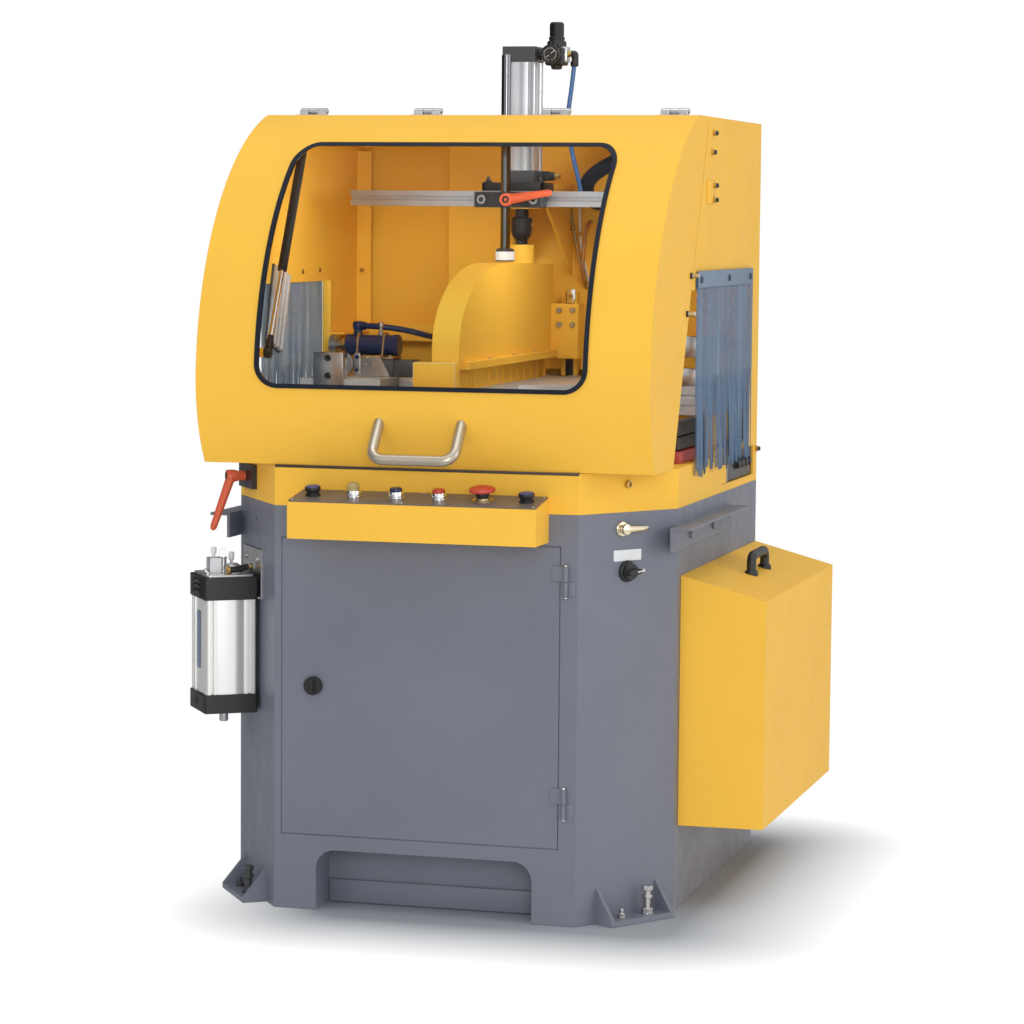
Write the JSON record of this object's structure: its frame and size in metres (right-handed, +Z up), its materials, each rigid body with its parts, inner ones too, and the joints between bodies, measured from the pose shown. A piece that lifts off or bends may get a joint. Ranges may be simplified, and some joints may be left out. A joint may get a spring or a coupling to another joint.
{
  "type": "mitre upcut saw",
  "caption": "Floor-standing mitre upcut saw: chamfered cabinet, rounded tilting hood with window, blade guard, turntable, strip curtains, control box and air clamp cylinder.",
  "frame": {"origin": "on the floor under the middle of the cabinet", "axes": "+Z up, -Y the front with the door and control box, +X the side with the side cover"},
  "size_m": [1.0733, 1.055, 1.65],
  "materials": {
    "yellow_paint": "gloss",
    "grey_paint": "satin",
    "steel": "brushed",
    "chrome": "polished",
    "aluminium": "satin",
    "black_metal": "satin",
    "iron": "machined",
    "black_plastic": "matte",
    "orange_plastic": "matte",
    "blue_plastic": "gloss",
    "red_plastic": "gloss",
    "amber_plastic": "gloss",
    "panel_plate": "matte",
    "curtain": "translucent sheet",
    "rubber": "matte",
    "window": "clear",
    "hose": "satin"
  },
  "bodies": {
    "base": {"cabinet_shell": "grey_paint", "levelling_bolts": "steel", "door_hinges": "steel", "table_ring": "yellow_paint", "side_tables": "aluminium", "fences": "aluminium", "rear_housing": "yellow_paint", "curtain_bars": "aluminium", "curtain_left": "curtain", "curtain_right": "curtain", "control_box": "yellow_paint", "control_plate": "panel_plate", "button_bezels": "chrome", "pilot_lamp": "amber_plastic", "switch_base": "black_plastic", "reservoir_body": "aluminium", "reservoir_caps": "black_plastic", "mitre_lock_block": "black_metal", "cylinder_caps": "aluminium", "cylinder_tube": "aluminium", "regulator": "black_plastic", "air_hoses": "hose", "tslot_rail": "aluminium", "rod_clamp_block": "black_metal", "vise_body": "aluminium", "hood_hinge_bases": "chrome"},
    "front_door": {"front_door": "grey_paint"},
    "door_lock": {"door_lock": "black_plastic"},
    "hood": {"hood_shell": "yellow_paint", "hood_window": "window", "window_gasket": "rubber", "hood_handle": "steel", "hood_hinge_leaves": "chrome"},
    "gas_spring_tubes": {"gas_spring_tubes": "black_metal"},
    "gas_spring_rods": {"gas_spring_rods": "chrome"},
    "turntable": {"turntable": "iron"},
    "saw_arm": {"saw_arm": "iron", "motor": "grey_paint", "drive_belt": "rubber"},
    "spindle": {"spindle": "steel", "saw_blade": "steel"},
    "motor_pulley": {"motor_pulley": "steel"},
    "feed_cylinder": {"feed_cylinder": "aluminium"},
    "feed_rod": {"feed_rod": "chrome"},
    "blade_guard": {"blade_guard": "yellow_paint"},
    "piston_rod": {"piston_rod": "black_metal"},
    "stop_rod": {"stop_rod": "chrome"},
    "clamp_lever": {"clamp_lever": "orange_plastic"},
    "vise_rod": {"vise_rod": "steel"},
    "start_button_left": {"start_button_left": "black_plastic"},
    "start_button_right": {"start_button_right": "black_plastic"},
    "push_button_blue": {"push_button_blue": "blue_plastic"},
    "push_button_red": {"push_button_red": "red_plastic"},
    "emergency_stop": {"emergency_stop": "red_plastic"},
    "side_cover": {"side_cover": "yellow_paint", "side_cover_handle": "black_plastic"},
    "switch_knob": {"switch_knob": "red_plastic"},
    "latch_handle": {"latch_handle": "chrome"},
    "regulator_knob": {"regulator_knob": "black_plastic"},
    "mitre_lock_lever": {"mitre_lock_lever": "orange_plastic"}
  },
  "joints": [
    {"name": "mitre_turn", "type": "hinge", "parent": "base", "child": "turntable", "pos_m": [0, 0.1825, 0.9], "axis": [0, 0, 1], "range_deg": [-30, 30]},
    {"name": "arm_rise", "type": "hinge", "parent": "turntable", "child": "saw_arm", "pos_m": [0, 0.3225, 0.64], "axis": [-1, 0, 0], "range_deg": [0, 21.5]},
    {"name": "blade_spin", "type": "hinge", "parent": "saw_arm", "child": "spindle", "pos_m": [0, -0.0005, 0.7], "axis": [1, 0, 0], "continuous": true},
    {"name": "motor_spin", "type": "hinge", "parent": "saw_arm", "child": "motor_pulley", "pos_m": [0, 0.2425, 0.44], "axis": [1, 0, 0], "continuous": true},
    {"name": "feed_swing", "type": "hinge", "parent": "turntable", "child": "feed_cylinder", "pos_m": [0.095, 0.1175, 0.876], "axis": [1, 0, 0], "range_deg": [0, 12]},
    {"name": "feed_stroke", "type": "slide", "parent": "feed_cylinder", "child": "feed_rod", "axis": [0, 0.0767, 0.9971], "range_m": [0, 0.078]},
    {"name": "guard_drop", "type": "slide", "parent": "turntable", "child": "blade_guard", "axis": [0, 0, -1], "range_m": [0, 0.034]},
    {"name": "piston_drop", "type": "slide", "parent": "base", "child": "piston_rod", "axis": [0, 0, -1], "range_m": [0, 0.034]},
    {"name": "stop_rod_slide", "type": "slide", "parent": "base", "child": "stop_rod", "axis": [0, 0, 1], "range_m": [0, 0.075]},
    {"name": "clamp_lever_turn", "type": "hinge", "parent": "base", "child": "clamp_lever", "pos_m": [0.014, 0.0275, 1.303], "axis": [0, 1, 0], "range_deg": [0, 90]},
    {"name": "mitre_lock_turn", "type": "hinge", "parent": "base", "child": "mitre_lock_lever", "pos_m": [-0.38464, -0.3171, 0.784], "axis": [-0.8182, -0.5749, 0], "range_deg": [0, 90]},
    {"name": "hood_open", "type": "hinge", "parent": "base", "child": "hood", "pos_m": [0, -0.0405, 1.4695], "axis": [-1, 0, 0], "range_deg": [0, 75]},
    {"name": "spring_swing", "type": "hinge", "parent": "base", "child": "gas_spring_tubes", "pos_m": [0, -0.0275, 1.432], "axis": [-1, 0, 0], "range_deg": [0, 77]},
    {"name": "spring_extend", "type": "slide", "parent": "gas_spring_tubes", "child": "gas_spring_rods", "axis": [0, -0.4548, -0.8906], "range_m": [0, 0.049]},
    {"name": "door_open", "type": "hinge", "parent": "base", "child": "front_door", "pos_m": [0.264, -0.463, 0.41], "axis": [0, 0, 1], "range_deg": [0, 110]},
    {"name": "lock_turn", "type": "hinge", "parent": "front_door", "child": "door_lock", "pos_m": [-0.21, -0.4575, 0.415], "axis": [0, -1, 0], "range_deg": [0, 90]},
    {"name": "start_button_left_press", "type": "slide", "parent": "base", "child": "start_button_left", "axis": [0, 0.1537, -0.9881], "range_m": [0, 0.004], "stiffness_N_per_m": 600, "springref_m": -0.002},
    {"name": "start_button_right_press", "type": "slide", "parent": "base", "child": "start_button_right", "axis": [0, 0.1537, -0.9881], "range_m": [0, 0.004], "stiffness_N_per_m": 600, "springref_m": -0.002},
    {"name": "push_button_blue_press", "type": "slide", "parent": "base", "child": "push_button_blue", "axis": [0, 0.1537, -0.9881], "range_m": [0, 0.004], "stiffness_N_per_m": 600, "springref_m": -0.002},
    {"name": "push_button_red_press", "type": "slide", "parent": "base", "child": "push_button_red", "axis": [0, 0.1537, -0.9881], "range_m": [0, 0.004], "stiffness_N_per_m": 600, "springref_m": -0.002},
    {"name": "emergency_stop_press", "type": "slide", "parent": "base", "child": "emergency_stop", "axis": [0, 0.1537, -0.9881], "range_m": [0, 0.004], "stiffness_N_per_m": 600, "springref_m": -0.002},
    {"name": "side_cover_lift", "type": "slide", "parent": "base", "child": "side_cover", "axis": [0, 0, 1], "range_m": [0, 0.04]},
    {"name": "switch_turn", "type": "hinge", "parent": "base", "child": "switch_knob", "pos_m": [0.35245, -0.36292, 0.636], "axis": [0.8182, -0.5749, 0], "range_deg": [0, 90]},
    {"name": "latch_turn", "type": "hinge", "parent": "base", "child": "latch_handle", "pos_m": [0.34491, -0.37365, 0.713], "axis": [0.8182, -0.5749, 0], "range_deg": [0, 90]},
    {"name": "regulator_turn", "type": "hinge", "parent": "base", "child": "regulator_knob", "pos_m": [0.068, 0.1825, 1.63], "axis": [0, 0, 1], "range_deg": [-150, 150]},
    {"name": "vise_stroke", "type": "slide", "parent": "base", "child": "vise_rod", "axis": [-1, 0, 0], "range_m": [0, 0.018]}
  ],
  "couplings": [
    {"joint": "motor_spin", "follows": "blade_spin", "ratio": 1},
    {"joint": "feed_swing", "follows": "arm_rise", "ratio": 0.55124},
    {"joint": "feed_stroke", "follows": "arm_rise", "m_per_rad": 0.20614},
    {"joint": "piston_drop", "follows": "guard_drop", "ratio": 1},
    {"joint": "spring_swing", "follows": "hood_open", "ratio": 1.0078},
    {"joint": "spring_extend", "follows": "hood_open", "m_per_rad": 0.036712}
  ]
}
